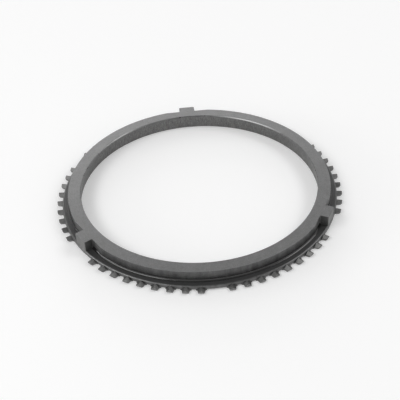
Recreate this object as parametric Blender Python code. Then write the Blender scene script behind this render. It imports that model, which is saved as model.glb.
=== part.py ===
"""Synchronizer ring of a heavy gearbox: a toothed steel ring with a conical bore and three lugs.

Units are metres. The ring's axis is Z, it rests on its toothed flange at z = 0, and one lug
points along +Y.
"""

import math

import bmesh
import bpy
from mathutils import Matrix

MM = 0.001

# Ring and friction cone
RING_HEIGHT = 10.6 * MM
CONE_TOP_RADIUS = 79.5 * MM
CONE_HALF_ANGLE = math.radians(7.0)
BORE_CHAMFER = 0.5 * MM
SHOULDER_WIDTH = 8.6 * MM
WALL_RADIUS = CONE_TOP_RADIUS + SHOULDER_WIDTH
TOP_EDGE_CHAMFER = 0.3 * MM

# Toothed flange
FLANGE_THICKNESS = 3.4 * MM
FLANGE_FILLET = 1.5 * MM
FILLET_STEPS = 4
FLANGE_WIDTH = 4.6 * MM
ROOT_RADIUS = WALL_RADIUS + FLANGE_WIDTH
RIM_CHAMFER = 1.0 * MM

# Blocking teeth
TOOTH_SPACES = 63
TOOTH_LENGTH = 3.5 * MM
TIP_RADIUS = ROOT_RADIUS + TOOTH_LENGTH
TOOTH_ROOT_WIDTH = 5.1 * MM
TOOTH_TIP_WIDTH = 3.5 * MM
TOOTH_RIDGE_HEIGHT = 2.9 * MM
TOOTH_EAVE_HEIGHT = 1.0 * MM
TIP_CHAMFER = 0.9 * MM
TOOTH_EMBED = 1.6 * MM
FIRST_TOOTH = 1.5

# Lugs, and the flats that they stand on
LUG_COUNT = 3
LUG_WIDTH = 11.2 * MM
LUG_REACH = 4.3 * MM
LUG_OUTER_DISTANCE = WALL_RADIUS + LUG_REACH
LUG_CORNER = 0.6 * MM
LUG_EMBED = 2.6 * MM
FLAT_DEPTH = 1.5 * MM
FLAT_DISTANCE = WALL_RADIUS - FLAT_DEPTH

# Facets of the turned surfaces for each tooth space
FACETS_PER_SPACE = 2

CUTTER_MARGIN = 3.0 * MM
STEEL_COLOR = (0.16, 0.16, 0.16, 1.0)


def clear_scene():
    for old in list(bpy.data.objects):
        bpy.data.objects.remove(old)


def steel():
    material = bpy.data.materials.new("machined_steel")
    material.use_nodes = True
    shader = material.node_tree.nodes["Principled BSDF"]
    shader.inputs["Base Color"].default_value = STEEL_COLOR
    shader.inputs["Metallic"].default_value = 1.0
    shader.inputs["Roughness"].default_value = 0.4
    return material


def new_object(name, bm):
    bmesh.ops.recalc_face_normals(bm, faces=bm.faces)
    mesh = bpy.data.meshes.new(name)
    bm.to_mesh(mesh)
    bm.free()
    created = bpy.data.objects.new(name, mesh)
    bpy.context.scene.collection.objects.link(created)
    return created


def make_tool(name, bm):
    """An object that only shapes the ring, and isn't a piece of its own."""
    tool = new_object(name, bm)
    tool.hide_render = True
    tool.display_type = "WIRE"
    return tool


def cone_radius(z):
    """Radius of the friction cone, which widens towards the flange."""
    cone_top = RING_HEIGHT - BORE_CHAMFER
    return CONE_TOP_RADIUS + (cone_top - z) * math.tan(CONE_HALF_ANGLE)


def fillet(center_y, center_z, radius):
    """Points of the concave corner from the wall down to the flange, as (y, z)."""
    points = []
    for step in range(FILLET_STEPS + 1):
        turn = math.pi / 2 * step / FILLET_STEPS
        points.append((center_y - radius * math.cos(turn), center_z - radius * math.sin(turn)))
    return points


def ring_profile():
    """Half section of the ring as (radius, z), from the bottom of the bore round to its top."""
    bore_bottom = cone_radius(BORE_CHAMFER)
    bore_top = cone_radius(RING_HEIGHT - BORE_CHAMFER)
    corner = fillet(WALL_RADIUS + FLANGE_FILLET, FLANGE_THICKNESS + FLANGE_FILLET, FLANGE_FILLET)
    return [
        (bore_bottom, BORE_CHAMFER),
        (bore_bottom + BORE_CHAMFER, 0.0),
        (ROOT_RADIUS - RIM_CHAMFER, 0.0),
        (ROOT_RADIUS, RIM_CHAMFER),
        (ROOT_RADIUS, FLANGE_THICKNESS - RIM_CHAMFER),
        (ROOT_RADIUS - RIM_CHAMFER, FLANGE_THICKNESS),
        *reversed(corner),
        (WALL_RADIUS, RING_HEIGHT - TOP_EDGE_CHAMFER),
        (WALL_RADIUS - TOP_EDGE_CHAMFER, RING_HEIGHT),
        (bore_top + BORE_CHAMFER, RING_HEIGHT),
        (bore_top, RING_HEIGHT - BORE_CHAMFER),
    ]


def turned_blank():
    """The ring as it leaves the lathe, with neither teeth nor lugs."""
    bm = bmesh.new()
    corners = [bm.verts.new((0.0, radius, z)) for radius, z in ring_profile()]
    edges = [bm.edges.new(pair) for pair in zip(corners, corners[1:] + corners[:1])]
    bmesh.ops.spin(
        bm,
        geom=corners + edges,
        cent=(0, 0, 0),
        axis=(0, 0, 1),
        angle=2 * math.pi,
        steps=TOOTH_SPACES * FACETS_PER_SPACE,
        use_merge=True,
    )
    bmesh.ops.remove_doubles(bm, verts=bm.verts, dist=1e-7)
    return new_object("synchronizer_ring", bm)


def prism(bm, outline, bottom, top):
    """A solid between two heights, over an outline of (x, y) points."""
    base = bm.faces.new([bm.verts.new((x, y, bottom)) for x, y in outline])
    raised = bmesh.ops.extrude_face_region(bm, geom=[base])["geom"]
    raised_verts = [part for part in raised if isinstance(part, bmesh.types.BMVert)]
    bmesh.ops.translate(bm, verts=raised_verts, vec=(0, 0, top - bottom))
    return list(base.verts) + raised_verts


def turn(bm, verts, angle):
    """Turns verts about the ring's axis, away from the lug on +Y."""
    bmesh.ops.rotate(bm, verts=verts, cent=(0, 0, 0), matrix=Matrix.Rotation(angle, 3, "Z"))


def lug_angles():
    return [2 * math.pi * lug / LUG_COUNT for lug in range(LUG_COUNT)]


def tooth_angles():
    """Places of the teeth: none beside a lug, and none in the middle of a sector."""
    pitch = 2 * math.pi / TOOTH_SPACES
    spaces_per_sector = TOOTH_SPACES / LUG_COUNT
    angles = []
    for lug in lug_angles():
        place = FIRST_TOOTH
        while place < spaces_per_sector - 1.0:
            if abs(place - spaces_per_sector / 2) > 0.25:
                angles.append(lug + place * pitch)
            place += 1.0
    return angles


def flat_cutters():
    """Blocks that cut the flat under each lug, with the flange's fillet at their foot."""
    bm = bmesh.new()
    half_length = WALL_RADIUS / 2
    section = fillet(FLAT_DISTANCE + FLANGE_FILLET, FLANGE_THICKNESS + FLANGE_FILLET, FLANGE_FILLET)
    section.append((ROOT_RADIUS + CUTTER_MARGIN, FLANGE_THICKNESS))
    section.append((ROOT_RADIUS + CUTTER_MARGIN, RING_HEIGHT + CUTTER_MARGIN))
    section.append((FLAT_DISTANCE, RING_HEIGHT + CUTTER_MARGIN))
    for angle in lug_angles():
        end = bm.faces.new([bm.verts.new((-half_length, y, z)) for y, z in section])
        swept = bmesh.ops.extrude_face_region(bm, geom=[end])["geom"]
        swept_verts = [part for part in swept if isinstance(part, bmesh.types.BMVert)]
        bmesh.ops.translate(bm, verts=swept_verts, vec=(2 * half_length, 0, 0))
        turn(bm, list(end.verts) + swept_verts, angle)
    return make_tool("flat_cutters", bm)


def lugs():
    """Driving lugs, from inside the flange up to the top face."""
    bm = bmesh.new()
    side = LUG_WIDTH / 2
    corner = side - LUG_CORNER
    outline = [
        (-side, FLAT_DISTANCE - LUG_EMBED),
        (side, FLAT_DISTANCE - LUG_EMBED),
        (side, LUG_OUTER_DISTANCE - LUG_CORNER),
        (corner, LUG_OUTER_DISTANCE),
        (-corner, LUG_OUTER_DISTANCE),
        (-side, LUG_OUTER_DISTANCE - LUG_CORNER),
    ]
    for angle in lug_angles():
        turn(bm, prism(bm, outline, FLANGE_THICKNESS / 2, RING_HEIGHT), angle)
    return make_tool("lugs", bm)


def add_tooth(bm, angle):
    """One tapered tooth with a roof-shaped top and a chamfer under its tip."""
    taper = (TOOTH_ROOT_WIDTH - TOOTH_TIP_WIDTH) / TOOTH_LENGTH
    inner_radius = ROOT_RADIUS - TOOTH_EMBED
    inner_side = (TOOTH_ROOT_WIDTH + taper * TOOTH_EMBED) / 2
    tip_side = TOOTH_TIP_WIDTH / 2
    inner = [
        bm.verts.new((-inner_side, inner_radius, 0.0)),
        bm.verts.new((inner_side, inner_radius, 0.0)),
        bm.verts.new((inner_side, inner_radius, TOOTH_EAVE_HEIGHT)),
        bm.verts.new((0.0, inner_radius, TOOTH_RIDGE_HEIGHT)),
        bm.verts.new((-inner_side, inner_radius, TOOTH_EAVE_HEIGHT)),
    ]
    end = bm.faces.new(inner)
    swept = bmesh.ops.extrude_face_region(bm, geom=[end])["geom"]
    tip = [part for part in swept if isinstance(part, bmesh.types.BMVert)]
    for vert in tip:
        on_bottom = vert.co.z < TOOTH_EAVE_HEIGHT / 2
        vert.co.x *= tip_side / inner_side
        vert.co.y = TIP_RADIUS - (TIP_CHAMFER if on_bottom else 0.0)
    eaves = [vert for vert in tip if abs(vert.co.z - TOOTH_EAVE_HEIGHT) < 0.1 * MM]
    bmesh.ops.connect_verts(bm, verts=eaves)
    turn(bm, inner + tip, angle)


def teeth():
    bm = bmesh.new()
    for angle in tooth_angles():
        add_tooth(bm, angle)
    return make_tool("teeth", bm)


def combine(target, tool, operation):
    boolean = target.modifiers.new(tool.name, "BOOLEAN")
    boolean.object = tool
    boolean.operation = operation
    boolean.solver = "EXACT"


def main():
    clear_scene()
    ring = turned_blank()
    ring.data.materials.append(steel())
    ring.data.shade_smooth()
    ring.data.set_sharp_from_angle(angle=math.radians(30))
    combine(ring, flat_cutters(), "DIFFERENCE")
    combine(ring, lugs(), "UNION")
    combine(ring, teeth(), "UNION")


main()
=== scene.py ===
"""Studio picture of a machined steel synchronizer ring.

Lengths are metres. The ring's axis is Z, its toothed face lies at z = 0, and one lug points
along +Y.
"""

import math

import bmesh
import bpy
from bpy.props import (
    FloatProperty,
    FloatVectorProperty,
    IntProperty,
    PointerProperty,
)
from mathutils import Matrix, Vector


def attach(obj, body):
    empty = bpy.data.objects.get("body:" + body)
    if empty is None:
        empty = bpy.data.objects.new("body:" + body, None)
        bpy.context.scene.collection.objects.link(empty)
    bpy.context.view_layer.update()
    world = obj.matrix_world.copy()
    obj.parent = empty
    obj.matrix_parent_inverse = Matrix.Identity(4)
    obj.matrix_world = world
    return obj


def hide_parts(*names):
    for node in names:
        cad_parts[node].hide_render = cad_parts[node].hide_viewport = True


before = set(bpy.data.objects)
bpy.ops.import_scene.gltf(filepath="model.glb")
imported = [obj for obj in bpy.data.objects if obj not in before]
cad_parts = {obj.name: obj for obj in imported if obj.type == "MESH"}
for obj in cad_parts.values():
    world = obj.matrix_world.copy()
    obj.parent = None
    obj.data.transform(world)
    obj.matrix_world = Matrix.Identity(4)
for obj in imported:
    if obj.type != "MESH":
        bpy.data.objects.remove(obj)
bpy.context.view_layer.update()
RING_NODE = "synchronizer_ring"

bl_info = {
    "name": "Synchronizer Ring",
    "version": (1, 0, 0),
    "blender": (4, 5, 0),
    "location": "3D View > Sidebar > Synchronizer Ring",
    "description": "Builds a machined synchronizer ring and a pale studio round it",
    "category": "Add Mesh",
}

MM = 0.001
FULL_TURN = 2 * math.pi

# Faces that meet at more than this stay crisp
SHARP_ANGLE = math.radians(32)

# Gaps smaller than these count as none
HAIR = 0.01 * MM
CLOSE = 0.05 * MM

# Verts nearer than this are one
WELD = 1e-7

# Facets of the turned surfaces for each tooth space
FACETS_PER_SPACE = 8

# Place of the first tooth after a lug, and the bare stretch to each side of the middle
# between two lugs, in tooth spaces
FIRST_TOOTH = 1.5
BARE_MIDDLE = 0.25

# How far the hidden foot of a lug and of a tooth spreads to each side, in fillets
LUG_SPREAD = 1.2
TOOTH_SPREAD = 1.1

# How far inside the rim a tooth's root fillets start, and how far outside them its
# soft edges do
ROOT_SINK = 0.12 * MM
SOFT_START = 0.2 * MM

# Slope of the chamfer under a tooth's tip
TIP_CHAMFER_SLOPE = 0.9

# Gap between the ring and the floor
FLOOR_GAP = 0.1 * MM

# Values that noise keeps between for the most part
NOISE_RANGE = (0.25, 0.75)

# Places of the steels in the ring's list of materials
TOP, WALL, CONE, MILLED, BAND, FILLET, CHAMFER = range(7)

# Moves the random lighter and darker patches of the milled steel. The lighter patches are partly
# painted glints on some teeth.
TONE_AND_GLINT_SHIFT = (0.137, -0.211, 0.093)

# Lamps: name, azimuth and elevation in degrees, distance, width, height and radiance
LAMPS = (
    ("low_back_light", 90.0, 8.0, 3.6, 1.92, 0.96, 6.4),
    ("left_back_light", 112.0, 26.0, 1.5, 0.8, 0.5, 1.3),
    ("right_back_light", 67.0, 26.0, 1.5, 0.8, 0.5, 0.5),
    ("low_left_light", 180.0, 8.0, 3.6, 1.92, 0.96, 4.4),
    ("left_light", 206.0, 44.0, 1.5, 1.1, 0.5, 4.0),
    ("right_light", 0.0, 44.0, 1.5, 0.8, 0.5, 3.3),
)

# Camera: place in metres, turn in degrees, and shift of the picture
CAMERA_PLACE = (-0.032197, -0.423227, 0.339422)
CAMERA_TURN = (50.7032, 1.2848, -7.5263)
CAMERA_SHIFT = (-0.05825, 0.0017)


def length(name, description, millimetres):
    """A property that holds a length."""
    return FloatProperty(
        name=name,
        description=description,
        default=millimetres * MM,
        min=0.0,
        precision=5,
        unit="LENGTH",
    )


def color(name, description, default):
    """A property that holds a linear colour."""
    return FloatVectorProperty(
        name=name,
        description=description,
        default=default,
        min=0.0,
        max=1.0,
        size=3,
        subtype="COLOR",
    )


def share(name, description, default):
    """A property that holds a share from 0 to 1."""
    return FloatProperty(
        name=name,
        description=description,
        default=default,
        min=0.0,
        max=1.0,
        subtype="FACTOR",
    )


class RingSizes(bpy.types.PropertyGroup):
    """Sizes of the turned ring, its teeth and its lugs."""

    ring_height: length("Ring height", "From the toothed face to the shoulder", 10.6)
    cone_top_radius: length("Cone radius", "Radius of the friction cone at its top", 79.5)
    cone_half_angle: FloatProperty(
        name="Cone angle",
        description="Slope of the friction cone on each side",
        default=math.radians(7.0),
        subtype="ANGLE",
    )
    bore_chamfer: length("Bore chamfer", "Chamfer at both ends of the bore", 0.55)
    wall_radius: length("Wall radius", "Radius of the shoulder's outer wall", 88.1)
    top_edge: length("Top edge", "Rounding of the shoulder's outer edge", 0.2)
    flange_thickness: length("Flange thickness", "Thickness of the toothed flange", 3.4)
    flange_fillet: length("Flange fillet", "Fillet between the wall and the flange", 1.5)
    root_radius: length("Root radius", "Radius of the flange between the teeth", 92.7)
    rim_edge: length("Rim edge", "Rounding over the rim and chamfer under it", 1.0)
    tooth_spaces: IntProperty(
        name="Tooth spaces",
        description="Equal spaces round the ring, with and without a tooth",
        default=63,
        min=12,
    )
    tip_radius: length("Tip radius", "Radius over the tips of the teeth", 96.2)
    tooth_root_width: length("Tooth width", "Width of a tooth at its root", 5.1)
    tooth_tip_width: length("Tip width", "Width of a tooth at its tip", 3.5)
    tooth_ridge: length("Ridge height", "Height of a tooth's ridge", 2.9)
    roof_slope: FloatProperty(
        name="Roof slope",
        description="Fall of a tooth's roof for each unit to the side of its ridge",
        default=0.8,
        min=0.0,
    )
    tip_chamfer: length("Tip chamfer", "Chamfer under the tip of a tooth", 0.9)
    tip_corner: length("Tip corner", "Rounding of a tooth's corners in plan", 0.35)
    tooth_fillet: length("Tooth fillet", "Fillet in plan where a tooth leaves the rim", 0.7)
    tooth_embed: length("Tooth embed", "How far a tooth reaches into the flange", 1.6)
    lug_count: IntProperty(
        name="Lugs",
        description="Lugs round the ring",
        default=3,
        min=1,
    )
    lug_width: length("Lug width", "Width of a lug along the ring", 11.2)
    lug_distance: length("Lug distance", "From the axis to a lug's outer face", 92.4)
    lug_corner: length("Lug corner", "Rounding of a lug's outer corners", 0.6)
    lug_fillet: length("Lug fillet", "Fillet where a lug leaves its flat", 0.5)
    lug_embed: length("Lug embed", "How far a lug reaches into the shoulder", 2.6)
    flat_distance: length("Flat distance", "From the axis to the flat under a lug", 86.6)
    soft_edge: length("Soft edge", "Rounding of edges that were only deburred", 0.12)


class SteelFinish(bpy.types.PropertyGroup):
    """Colours and gloss of the steel."""

    # The shoulder face, the bore's chamfer and the wall are one turned steel. The face that is up
    # and the chamfer get lighter copies of its colour as painted light, and the wall gets a darker
    # copy as painted shade.
    top_color_painted_lighter: color("Shoulder face", "Colour of the face that is up", (0.232, 0.232, 0.232))
    wall_color_painted_darker: color("Turned steel", "Colour of the wall and the rim", (0.148, 0.148, 0.148))
    chamfer_color_painted_lighter: color("Chamfer", "Colour of the bore's chamfer", (0.2, 0.2, 0.2))
    cone_color: color("Friction cone", "Colour of the friction cone", (0.175, 0.175, 0.173))
    tooth_color: color("Teeth", "Colour of the teeth and the lugs", (0.2, 0.2, 0.198))
    band_color: color("Flange face", "Colour of the flange's dull face", (0.07, 0.07, 0.07))
    fillet_color: color("Fillet", "Colour of the fillet over the flange", (0.07, 0.07, 0.07))
    top_roughness: share("Shoulder gloss", "Roughness of the face that is up", 0.42)
    wall_roughness: share("Turned gloss", "Roughness of the wall and the rim", 0.4)
    chamfer_roughness: share("Chamfer gloss", "Roughness of the bore's chamfer", 0.3)
    cone_roughness: share("Cone gloss", "Roughness of the friction cone", 0.48)
    tooth_roughness: share("Tooth gloss", "Roughness of the teeth and the lugs", 0.5)
    band_roughness: share("Flange gloss", "Roughness of the flange's face", 0.5)
    fillet_roughness: share("Fillet gloss", "Roughness of the fillet", 0.22)


class StudioSettings(bpy.types.PropertyGroup):
    """Floor, light and camera."""

    floor_color: color("Floor", "Colour of the floor", (0.9, 0.9, 0.9))
    floor_size: length("Floor size", "Half the side of the floor", 4000.0)
    floor_lift: share("Floor lift", "Whiteness that the floor adds to what is seen of it", 0.17)
    far_lift: share("Far lift", "The same beyond the lamps, where less light falls", 0.44)
    near_floor: length("Near floor", "Radius of the floor that the lamps light well", 500.0)
    far_floor: length("Far floor", "Radius past which no lamp lights the floor", 2200.0)
    room_level: share("Room, level", "Light of the room round its horizon", 0.88)
    room_overhead: share("Room, overhead", "Light of the room from straight above", 0.24)
    lens: FloatProperty(
        name="Lens",
        description="Focal length of the camera, in millimetres",
        default=71.534,
        min=10.0,
    )


def round_corner(bm, corner, radius, segments):
    """Rounds one corner of a flat outline, or chamfers it with one segment."""
    bmesh.ops.bevel(
        bm,
        geom=[corner],
        offset=radius,
        segments=segments,
        profile=0.5,
        affect="VERTICES",
        material=-1,
    )


def bevel_edges(bm, edges, width, segments):
    bmesh.ops.bevel(
        bm,
        geom=edges,
        offset=width,
        segments=segments,
        profile=0.5,
        affect="EDGES",
        material=-1,
    )


def extruded(bm, face, offset):
    """Extrudes a face and returns the verts of its far end."""
    made = bmesh.ops.extrude_face_region(bm, geom=[face])["geom"]
    verts = [item for item in made if isinstance(item, bmesh.types.BMVert)]
    bmesh.ops.translate(bm, verts=verts, vec=offset)
    return verts


def outline_face(bm, outline, height):
    """A flat face over an outline of corners, each with its own rounding."""
    verts = [bm.verts.new((x, y, height)) for x, y, _ in outline]
    bm.faces.new(verts)
    for vert, (_, _, rounding) in zip(verts, outline):
        if rounding:
            round_corner(bm, vert, rounding, 4)
    return bm.faces[:][0]


def copies_round(bm, angles):
    """Puts what the mesh holds at the first angle about the axis, and a copy at each other."""
    pattern_verts = bm.verts[:]
    pattern = pattern_verts + bm.edges[:] + bm.faces[:]
    for angle in angles[1:]:
        made = bmesh.ops.duplicate(bm, geom=pattern)["geom"]
        turn(bm, [item for item in made if isinstance(item, bmesh.types.BMVert)], angle)
    turn(bm, pattern_verts, angles[0])


def turn(bm, verts, angle):
    bmesh.ops.rotate(bm, verts=verts, cent=(0, 0, 0), matrix=Matrix.Rotation(angle, 3, "Z"))


def new_object(name, bm, materials, material_index=0):
    bmesh.ops.recalc_face_normals(bm, faces=bm.faces)
    for face in bm.faces:
        face.material_index = material_index
    mesh = bpy.data.meshes.new(name)
    bm.to_mesh(mesh)
    bm.free()
    for material in materials:
        mesh.materials.append(material)
    made = bpy.data.objects.new(name, mesh)
    bpy.context.scene.collection.objects.link(made)
    return made


def cone_radius(sizes, z):
    """Radius of the friction cone, which widens towards the toothed face."""
    cone_top = sizes.ring_height - sizes.bore_chamfer
    return sizes.cone_top_radius + (cone_top - z) * math.tan(sizes.cone_half_angle)


def lug_angles(sizes):
    return [FULL_TURN * lug / sizes.lug_count for lug in range(sizes.lug_count)]


def tooth_angles(sizes):
    """Angles of the teeth: none beside a lug, and none midway between two lugs."""
    pitch = FULL_TURN / sizes.tooth_spaces
    spaces = sizes.tooth_spaces / sizes.lug_count
    places = [place + FIRST_TOOTH for place in range(int(spaces) - 2)]
    places = [place for place in places if abs(place - spaces / 2) > BARE_MIDDLE]
    return [lug + place * pitch for lug in lug_angles(sizes) for place in places]


def turned_blank(sizes, steels):
    """The ring as it leaves the lathe: its rounded half section, spun about the axis."""
    bm = bmesh.new()
    corners = (
        (cone_radius(sizes, 0.0), 0.0, sizes.bore_chamfer, 1),
        (sizes.root_radius, 0.0, sizes.rim_edge, 1),
        (sizes.root_radius, sizes.flange_thickness, sizes.rim_edge, 6),
        (sizes.wall_radius, sizes.flange_thickness, sizes.flange_fillet, 8),
        (sizes.wall_radius, sizes.ring_height, sizes.top_edge, 4),
        (cone_radius(sizes, sizes.ring_height), sizes.ring_height, sizes.bore_chamfer, 1),
    )
    verts = [bm.verts.new((0.0, radius, z)) for radius, z, _, _ in corners]
    section = bm.faces.new(verts)
    for vert, (_, _, rounding, segments) in zip(verts, corners):
        round_corner(bm, vert, rounding, segments)
    bmesh.ops.delete(bm, geom=bm.faces[:], context="FACES_ONLY")
    bmesh.ops.spin(
        bm,
        geom=bm.verts[:] + bm.edges[:],
        cent=(0, 0, 0),
        axis=(0, 0, 1),
        angle=FULL_TURN,
        steps=sizes.tooth_spaces * FACETS_PER_SPACE,
        use_merge=True,
    )
    bmesh.ops.remove_doubles(bm, verts=bm.verts, dist=WELD)
    return new_object("ring", bm, steels, WALL)


def flat_cutters(sizes, steels):
    """Blocks that cut the flats under the lugs, with the flange's fillet at their foot."""
    bm = bmesh.new()
    margin = 3 * MM
    half_length = sizes.wall_radius / 2
    top = sizes.ring_height
    outside = sizes.root_radius + margin
    section = (
        (sizes.flat_distance, sizes.flange_thickness),
        (outside, sizes.flange_thickness),
        (outside, top + margin),
        (sizes.flat_distance, top + margin),
    )
    verts = [bm.verts.new((-half_length, y, z)) for y, z in section]
    bm.faces.new(verts)
    round_corner(bm, verts[0], sizes.flange_fillet, 8)
    extruded(bm, bm.faces[:][0], (2 * half_length, 0, 0))
    copies_round(bm, lug_angles(sizes))
    return new_object("flat_cutters", bm, steels, MILLED)


def lugs(sizes, steels):
    """Driving lugs that stand on the flats, flush with the shoulder's face."""
    bm = bmesh.new()
    side = sizes.lug_width / 2
    foot = sizes.flat_distance - HAIR
    wide = side + LUG_SPREAD * sizes.lug_fillet
    inner = sizes.flat_distance - sizes.lug_embed
    bottom = sizes.flange_thickness / 2
    outline = (
        (-wide, inner, 0.0),
        (wide, inner, 0.0),
        (wide, foot, 0.0),
        (side, foot, sizes.lug_fillet),
        (side, sizes.lug_distance, sizes.lug_corner),
        (-side, sizes.lug_distance, sizes.lug_corner),
        (-side, foot, sizes.lug_fillet),
        (-wide, foot, 0.0),
    )
    plate = outline_face(bm, outline, bottom)
    top = extruded(bm, plate, (0, 0, sizes.ring_height - bottom))
    rim = [edge for edge in bm.edges if edge.verts[0] in top and edge.verts[1] in top]
    bevel_edges(bm, rim, sizes.top_edge, 3)
    copies_round(bm, lug_angles(sizes))
    return new_object("lugs", bm, steels, MILLED)


def cut_off(bm, place, direction):
    """Cuts off what lies beyond a plane, and closes the cut."""
    geometry = bm.verts[:] + bm.edges[:] + bm.faces[:]
    made = bmesh.ops.bisect_plane(
        bm,
        geom=geometry,
        dist=WELD,
        plane_co=place,
        plane_no=direction,
        clear_outer=True,
    )
    cut = [item for item in made["geom_cut"] if isinstance(item, bmesh.types.BMEdge)]
    bmesh.ops.edgeloop_fill(bm, edges=cut)


def teeth(sizes, steels):
    """Tapered teeth with a roof-shaped top, root fillets and a chamfer under the tip."""
    bm = bmesh.new()
    root_side = sizes.tooth_root_width / 2
    tip_side = sizes.tooth_tip_width / 2
    wide = root_side + TOOTH_SPREAD * sizes.tooth_fillet
    foot = sizes.root_radius - ROOT_SINK
    inner = sizes.root_radius - sizes.tooth_embed
    tip = sizes.tip_radius
    outline = (
        (-wide, inner, 0.0),
        (wide, inner, 0.0),
        (wide, foot, 0.0),
        (root_side, foot, sizes.tooth_fillet),
        (tip_side, tip, sizes.tip_corner),
        (-tip_side, tip, sizes.tip_corner),
        (-root_side, foot, sizes.tooth_fillet),
        (-wide, foot, 0.0),
    )
    plate = outline_face(bm, outline, 0.0)
    extruded(bm, plate, (0, 0, sizes.tooth_ridge + MM))
    ridge = (0, 0, sizes.tooth_ridge)
    cut_off(bm, ridge, (sizes.roof_slope, 0, 1))
    cut_off(bm, ridge, (-sizes.roof_slope, 0, 1))
    cut_off(bm, (0, tip - sizes.tip_chamfer, 0), (0, 1, -TIP_CHAMFER_SLOPE))
    past_fillets = foot + SOFT_START
    crisp = []
    for edge in bm.edges:
        sharp = edge.calc_face_angle(0.0) > SHARP_ANGLE
        outside = all(vert.co.y > past_fillets for vert in edge.verts)
        on_ridge = all(abs(vert.co.x) < HAIR for vert in edge.verts)
        if (sharp and outside) or on_ridge:
            crisp.append(edge)
    bevel_edges(bm, crisp, sizes.soft_edge, 2)
    copies_round(bm, tooth_angles(sizes))
    return new_object("teeth", bm, steels, MILLED)


def combine(target, tool, operation):
    """Cuts the tool from the target or joins it on, and keeps each piece's own finish."""
    boolean = target.modifiers.new(tool.name, "BOOLEAN")
    boolean.object = tool
    boolean.operation = operation
    boolean.solver = "MANIFOLD"


def apply_modifiers(target, tools):
    graph = bpy.context.evaluated_depsgraph_get()
    finished = bpy.data.meshes.new_from_object(target.evaluated_get(graph))
    rough = target.data
    target.modifiers.clear()
    target.data = finished
    bpy.data.meshes.remove(rough)
    for tool in tools:
        bpy.data.objects.remove(tool)


class NodeMaker:
    """Adds and links the nodes of one material."""

    def __init__(self, name):
        self.material = bpy.data.materials.new(name)
        self.material.use_nodes = True
        self.nodes = self.material.node_tree.nodes
        self.links = self.material.node_tree.links
        self.shader = self.nodes["Principled BSDF"]

    def add(self, kind, inputs=(), **settings):
        node = self.nodes.new(kind)
        for name, value in settings.items():
            setattr(node, name, value)
        self.feed(node, inputs)
        return node

    def feed(self, node, inputs):
        """Sets sockets of a node to values, or links them to other sockets."""
        for socket, value in dict(inputs).items():
            if isinstance(value, bpy.types.NodeSocket):
                self.links.new(value, node.inputs[socket])
            else:
                node.inputs[socket].default_value = value

    def noise(self, vector, scale, detail=2.0, roughness=0.5):
        inputs = {"Vector": vector, "Scale": scale, "Detail": detail, "Roughness": roughness}
        return self.add("ShaderNodeTexNoise", inputs).outputs["Fac"]

    def remap(self, value, low, high):
        """Takes noise to a range of its own."""
        start, end = NOISE_RANGE
        inputs = {"Value": value, "From Min": start, "From Max": end, "To Min": low, "To Max": high}
        return self.add("ShaderNodeMapRange", inputs).outputs["Result"]

    def math(self, operation, first, second):
        node = self.add("ShaderNodeMath", {0: first, 1: second}, operation=operation)
        return node.outputs[0]

    def product(self, first, *others):
        """Multiplies varying values."""
        for other in others:
            first = self.math("MULTIPLY", first, other)
        return first

    def object_place(self, scale=(1.0, 1.0, 1.0), shift=(0.0, 0.0, 0.0)):
        """Object coordinates with each axis scaled, and then moved."""
        place = self.add("ShaderNodeTexCoord").outputs["Object"]
        inputs = {"Vector": place, "Scale": scale, "Location": shift}
        return self.add("ShaderNodeMapping", inputs).outputs["Vector"]

    def lathe_place(self):
        """A coordinate that grows along the ring's section, so that a pattern on it is rings."""
        place = self.add("ShaderNodeTexCoord").outputs["Object"]
        split = self.add("ShaderNodeSeparateXYZ", {"Vector": place})
        flat = self.add("ShaderNodeCombineXYZ", {"X": split.outputs["X"], "Y": split.outputs["Y"]})
        radius = self.add("ShaderNodeVectorMath", {0: flat.outputs["Vector"]}, operation="LENGTH")
        along = self.math("ADD", radius.outputs["Value"], split.outputs["Z"])
        return self.add("ShaderNodeCombineXYZ", {"X": along}).outputs["Vector"]

    def shaded(self, base, brightness):
        """A base colour times a varying brightness."""
        mix = self.add("ShaderNodeMix", data_type="RGBA", blend_type="MULTIPLY")
        factor, first, second = (mix.inputs[index] for index in (0, 6, 7))
        factor.default_value = 1.0
        first.default_value = (*base, 1.0)
        self.links.new(brightness, second)
        return mix.outputs[2]

    def steel(self, base_color, metallic, roughness, relief, strength, depth):
        """Finishes the shader as steel with a fine relief, and returns its material."""
        inputs = {"Strength": strength, "Distance": depth, "Height": relief}
        bump = self.add("ShaderNodeBump", inputs)
        surface = {
            "Base Color": base_color,
            "Metallic": metallic,
            "Roughness": roughness,
            "Normal": bump.outputs["Normal"],
        }
        self.feed(self.shader, surface)
        return self.material


def turned_steel(name, base, roughness, reflection_streaking=0.1):
    """Steel with the fine rings that a lathe leaves, a soft mottling, streaks and a grain. The
    upright streaks in its colour are painted reflections, strongest on the wall, and they also vary
    its roughness.
    """
    maker = NodeMaker(name)
    rings = maker.noise(maker.lathe_place(), 1500.0, 4.0, 0.7)
    mottling = maker.noise(maker.object_place(), 90.0, 4.0, 0.6)
    streaks_and_painted_reflections = maker.noise(maker.object_place((1.0, 1.0, 0.2)), 420.0, 3.0, 0.6)
    grain = maker.noise(maker.object_place(), 1500.0, 1.0, 0.5)
    shade = maker.product(
        maker.remap(mottling, 0.94, 1.06),
        # Upright streaks of painted reflection in the colour
        maker.remap(streaks_and_painted_reflections, 1.0 - reflection_streaking, 1.0 + reflection_streaking),
        maker.remap(grain, 0.87, 1.13),
        maker.remap(rings, 0.94, 1.06),
    )
    rough = maker.remap(streaks_and_painted_reflections, roughness - 0.05, roughness + 0.05)
    base_color = maker.shaded(base, shade)
    return maker.steel(base_color, 1.0, rough, rings, 0.25, 0.02 * MM)


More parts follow.
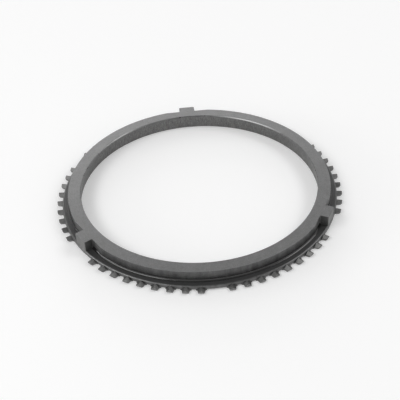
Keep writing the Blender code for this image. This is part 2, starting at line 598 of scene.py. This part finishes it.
def cone_steel(finish):
    """Steel of the friction cone, with close upright marks."""
    maker = NodeMaker("friction_cone_steel")
    marks = maker.noise(maker.object_place((1.0, 1.0, 0.15)), 1500.0, 1.0, 0.6)
    dots = maker.noise(maker.object_place(), 1700.0, 1.0, 0.5)
    mottling = maker.noise(maker.object_place(), 110.0, 3.0, 0.6)
    shade = maker.product(
        maker.remap(marks, 0.75, 1.25),
        maker.remap(dots, 0.7, 1.3),
        maker.remap(mottling, 0.97, 1.03),
    )
    base_color = maker.shaded(finish.cone_color, shade)
    return maker.steel(base_color, 1.0, finish.cone_roughness, marks, 0.3, 0.03 * MM)


def milled_steel(finish):
    """Steel of the milled teeth, lugs and flats, with random lighter and darker patches. The
    lighter patches paint glints on some teeth.
    """
    maker = NodeMaker("milled_steel")
    tone_and_glint_patches = maker.noise(maker.object_place(shift=TONE_AND_GLINT_SHIFT), 130.0, 2.0, 0.5)
    grain = maker.noise(maker.object_place(), 1400.0, 3.0, 0.6)
    shade = maker.product(
        # Random tone that also paints glints onto the lighter teeth
        maker.remap(tone_and_glint_patches, 0.7, 1.35),
        maker.remap(grain, 0.92, 1.08),
    )
    roughness = finish.tooth_roughness
    rough = maker.remap(tone_and_glint_patches, roughness - 0.06, roughness + 0.06)
    base_color = maker.shaded(finish.tooth_color, shade)
    return maker.steel(base_color, 1.0, rough, grain, 0.2, 0.03 * MM)


def black_steel(name, base, metallic, roughness):
    """Dark steel of the flange between its wall and its rim."""
    maker = NodeMaker(name)
    mottling = maker.noise(maker.object_place(), 120.0, 4.0, 0.6)
    rings = maker.noise(maker.lathe_place(), 1800.0, 3.0, 0.6)
    shade = maker.product(
        maker.remap(mottling, 0.88, 1.12),
        maker.remap(rings, 0.92, 1.08),
    )
    base_color = maker.shaded(base, shade)
    return maker.steel(base_color, metallic, roughness, rings, 0.15, 0.02 * MM)


def finish_zones(sizes, mesh):
    """Gives the turned surfaces of the finished ring their own steels."""
    flange_top = sizes.flange_thickness
    chamfer_width = sizes.bore_chamfer + CLOSE
    for face in mesh.polygons:
        radius = face.center.xy.length
        height = face.center.z
        upward = face.normal.z
        upright = abs(upward) < 0.5
        slanting = abs(upward) < 0.9
        level = upward > 0.98
        leaning_back = upward > 0.05
        from_cone = radius - cone_radius(sizes, height)
        on_flange = flange_top - HAIR < height < flange_top + sizes.flange_fillet
        # The face that is up and the chamfer get the lighter copies of the turned steel as painted
        # light, and the wall keeps the darker copy as painted shade
        if height > sizes.ring_height - HAIR:
            face.material_index = TOP
        elif from_cone < CLOSE and upright:
            face.material_index = CONE
        elif from_cone < chamfer_width and slanting:
            face.material_index = CHAMFER
        elif on_flange and level:
            face.material_index = BAND
        elif on_flange and leaning_back:
            face.material_index = FILLET


class SYNCHRO_OT_ring(bpy.types.Operator):
    """Build the ring with its bore, flange, teeth and lugs."""

    bl_idname = "synchro.ring"
    bl_label = "Ring"

    def execute(self, context):
        sizes = context.scene.synchro_sizes
        finish = context.scene.synchro_finish
        steels = (
            # Lighter copies of the turned steel paint light on the face that is up and on the
            # chamfer, and a darker copy paints shade on the wall
            turned_steel("faced_steel", finish.top_color_painted_lighter, finish.top_roughness),
            # The wall and the rim get stronger upright streaks of painted reflection in their
            # colour
            turned_steel("turned_steel", finish.wall_color_painted_darker, finish.wall_roughness, reflection_streaking=0.22),
            cone_steel(finish),
            milled_steel(finish),
            black_steel("flange_steel", finish.band_color, 0.5, finish.band_roughness),
            black_steel("fillet_steel", finish.fillet_color, 1.0, finish.fillet_roughness),
            turned_steel("chamfer_steel", finish.chamfer_color_painted_lighter, finish.chamfer_roughness),
        )
        ring = turned_blank(sizes, steels)
        tools = [
            flat_cutters(sizes, steels),
            lugs(sizes, steels),
            teeth(sizes, steels),
        ]
        for tool, operation in zip(tools, ("DIFFERENCE", "UNION", "UNION")):
            combine(ring, tool, operation)
        apply_modifiers(ring, tools)
        finish_zones(sizes, ring.data)
        ring.data.shade_smooth()
        ring.data.set_sharp_from_angle(angle=SHARP_ANGLE)
        weighted = ring.modifiers.new("weighted_normals", "WEIGHTED_NORMAL")
        weighted.keep_sharp = True
        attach(ring, "root")
        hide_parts(RING_NODE)
        return {"FINISHED"}


def softbox(name, azimuth, elevation, distance, width, height, radiance):
    """A rectangle of even light that faces the ring from a direction given in degrees."""
    light = bpy.data.lights.new(name, "AREA")
    light.shape = "RECTANGLE"
    light.size = width
    light.size_y = height
    light.energy = radiance * math.pi * width * height
    lamp = bpy.data.objects.new(name, light)
    around, above = math.radians(azimuth), math.radians(elevation)
    level = distance * math.cos(above)
    place = (level * math.cos(around), level * math.sin(around), distance * math.sin(above))
    lamp.location = place
    lamp.rotation_euler = (-Vector(place)).to_track_quat("-Z", "Y").to_euler()
    lamp.visible_camera = False
    bpy.context.scene.collection.objects.link(lamp)


def add_floor(studio):
    """A pale floor whose whiteness is lifted where it is seen, and more so far away."""
    bm = bmesh.new()
    bmesh.ops.create_grid(bm, x_segments=1, y_segments=1, size=studio.floor_size)
    bmesh.ops.translate(bm, verts=bm.verts, vec=(0, 0, -FLOOR_GAP))
    maker = NodeMaker("pale_floor")
    rays = maker.add("ShaderNodeLightPath").outputs
    seen = maker.math("MAXIMUM", rays["Is Camera Ray"], rays["Is Glossy Ray"])
    seen = maker.math("MAXIMUM", seen, rays["Is Transmission Ray"])
    place = maker.add("ShaderNodeTexCoord").outputs["Object"]
    distance = maker.add("ShaderNodeVectorMath", {0: place}, operation="LENGTH")
    outward = {
        "Value": distance.outputs["Value"],
        "From Min": studio.near_floor,
        "From Max": studio.far_floor,
        "To Min": studio.floor_lift,
        "To Max": studio.far_lift,
    }
    ramp = maker.add("ShaderNodeMapRange", outward, interpolation_type="SMOOTHSTEP")
    surface = {
        "Base Color": (*studio.floor_color, 1.0),
        "Roughness": 0.9,
        "Specular IOR Level": 0.0,
        "Emission Color": (1.0, 1.0, 1.0, 1.0),
        "Emission Strength": maker.product(seen, ramp.outputs["Result"]),
    }
    maker.feed(maker.shader, surface)
    floor = new_object("floor", bm, [maker.material])


def add_world(studio):
    """A grey room that is lighter round the horizon than overhead."""
    world = bpy.data.worlds.new("studio")
    world.use_nodes = True
    nodes, links = world.node_tree.nodes, world.node_tree.links
    direction = nodes.new("ShaderNodeTexCoord").outputs["Generated"]
    split = nodes.new("ShaderNodeSeparateXYZ")
    light = nodes.new("ShaderNodeMapRange")
    light.inputs["To Min"].default_value = studio.room_level
    light.inputs["To Max"].default_value = studio.room_overhead
    links.new(direction, split.inputs["Vector"])
    links.new(split.outputs["Z"], light.inputs["Value"])
    links.new(light.outputs["Result"], nodes["Background"].inputs["Strength"])
    nodes["Background"].inputs["Color"].default_value = (1.0, 1.0, 1.0, 1.0)
    bpy.context.scene.world = world


def add_camera(studio):
    camera = bpy.data.objects.new("camera", bpy.data.cameras.new("camera"))
    camera.data.lens = studio.lens
    camera.data.sensor_width = 36.0
    camera.data.shift_x, camera.data.shift_y = CAMERA_SHIFT
    camera.data.clip_start = 0.01
    camera.location = CAMERA_PLACE
    camera.rotation_euler = [math.radians(angle) for angle in CAMERA_TURN]
    bpy.context.scene.collection.objects.link(camera)
    bpy.context.scene.camera = camera


class SYNCHRO_OT_stage(bpy.types.Operator):
    """Set up the pale floor, the soft light and the camera."""

    bl_idname = "synchro.stage"
    bl_label = "Stage"

    def execute(self, context):
        studio = context.scene.synchro_studio
        add_floor(studio)
        add_world(studio)
        for lamp in LAMPS:
            softbox(*lamp)
        add_camera(studio)
        context.scene.view_settings.view_transform = "Standard"
        return {"FINISHED"}


class SYNCHRO_PT_panel(bpy.types.Panel):
    """Sizes, finishes and buttons of the synchronizer ring."""

    bl_idname = "SYNCHRO_PT_panel"
    bl_label = "Synchronizer Ring"
    bl_space_type = "VIEW_3D"
    bl_region_type = "UI"
    bl_category = "Synchronizer Ring"

    def draw(self, context):
        scene = context.scene
        for group in (scene.synchro_sizes, scene.synchro_finish, scene.synchro_studio):
            box = self.layout.box()
            for name in group.__annotations__:
                box.prop(group, name)
        self.layout.operator(SYNCHRO_OT_ring.bl_idname)
        self.layout.operator(SYNCHRO_OT_stage.bl_idname)


CLASSES = (
    RingSizes,
    SteelFinish,
    StudioSettings,
    SYNCHRO_OT_ring,
    SYNCHRO_OT_stage,
    SYNCHRO_PT_panel,
)


def register():
    for cls in CLASSES:
        bpy.utils.register_class(cls)
    bpy.types.Scene.synchro_sizes = PointerProperty(type=RingSizes)
    bpy.types.Scene.synchro_finish = PointerProperty(type=SteelFinish)
    bpy.types.Scene.synchro_studio = PointerProperty(type=StudioSettings)


def unregister():
    del bpy.types.Scene.synchro_studio
    del bpy.types.Scene.synchro_finish
    del bpy.types.Scene.synchro_sizes
    for cls in reversed(CLASSES):
        bpy.utils.unregister_class(cls)


def main():
    register()
    bpy.ops.synchro.ring()
    bpy.ops.synchro.stage()


if __name__ == "__main__":
    main()
